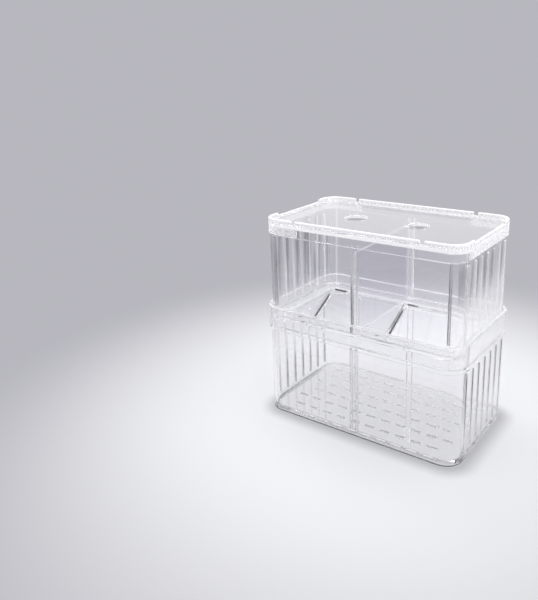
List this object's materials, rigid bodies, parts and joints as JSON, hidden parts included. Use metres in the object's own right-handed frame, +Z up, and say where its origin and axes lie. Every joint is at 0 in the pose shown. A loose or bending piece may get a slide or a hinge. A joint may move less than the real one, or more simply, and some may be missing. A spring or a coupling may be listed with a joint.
{
  "type": "fish breeding box",
  "caption": "Clear two-tier fish breeding box: a nested upper box with a V-shaped trap and a divider over a slotted lower box, closed by a lid with feeding holes.",
  "frame": {"origin": "middle of the footprint, on the surface that the box stands on", "axes": "+X along the length, +Y from the front long side to the back, +Z up"},
  "size_m": [0.135, 0.081, 0.1305],
  "materials": {
    "clear_lower": "polished clear",
    "clear_upper": "polished clear",
    "clear_lid": "polished clear",
    "clear_pad": "polished clear",
    "clear_plate": "polished clear"
  },
  "bodies": {
    "lower": {"lower_box": "clear_lower"},
    "upper": {"upper_box": "clear_upper"},
    "lid": {"lid": "clear_lid"},
    "separation_pad": {"separation_pad": "clear_pad"},
    "trap_plate_front_left": {"trap_plate_front_left": "clear_plate"},
    "trap_plate_rear_left": {"trap_plate_rear_left": "clear_plate"},
    "trap_plate_front_right": {"trap_plate_front_right": "clear_plate"},
    "trap_plate_rear_right": {"trap_plate_rear_right": "clear_plate"}
  },
  "joints": [
    {"name": "upper_box_lift", "type": "slide", "parent": "lower", "child": "upper", "axis": [0, 0, 1], "range_m": [0, 0.08]},
    {"name": "lid_lift", "type": "slide", "parent": "upper", "child": "lid", "axis": [0, 0, 1], "range_m": [0, 0.06]},
    {"name": "separation_pad_lift", "type": "slide", "parent": "upper", "child": "separation_pad", "axis": [0, 0, 1], "range_m": [0, 0.008]},
    {"name": "trap_plate_front_left_lift", "type": "slide", "parent": "upper", "child": "trap_plate_front_left", "axis": [0, 0, 1], "range_m": [0, 0.05]},
    {"name": "trap_plate_rear_left_lift", "type": "slide", "parent": "upper", "child": "trap_plate_rear_left", "axis": [0, 0, 1], "range_m": [0, 0.05]},
    {"name": "trap_plate_front_right_lift", "type": "slide", "parent": "upper", "child": "trap_plate_front_right", "axis": [0, 0, 1], "range_m": [0, 0.05]},
    {"name": "trap_plate_rear_right_lift", "type": "slide", "parent": "upper", "child": "trap_plate_rear_right", "axis": [0, 0, 1], "range_m": [0, 0.05]}
  ]
}
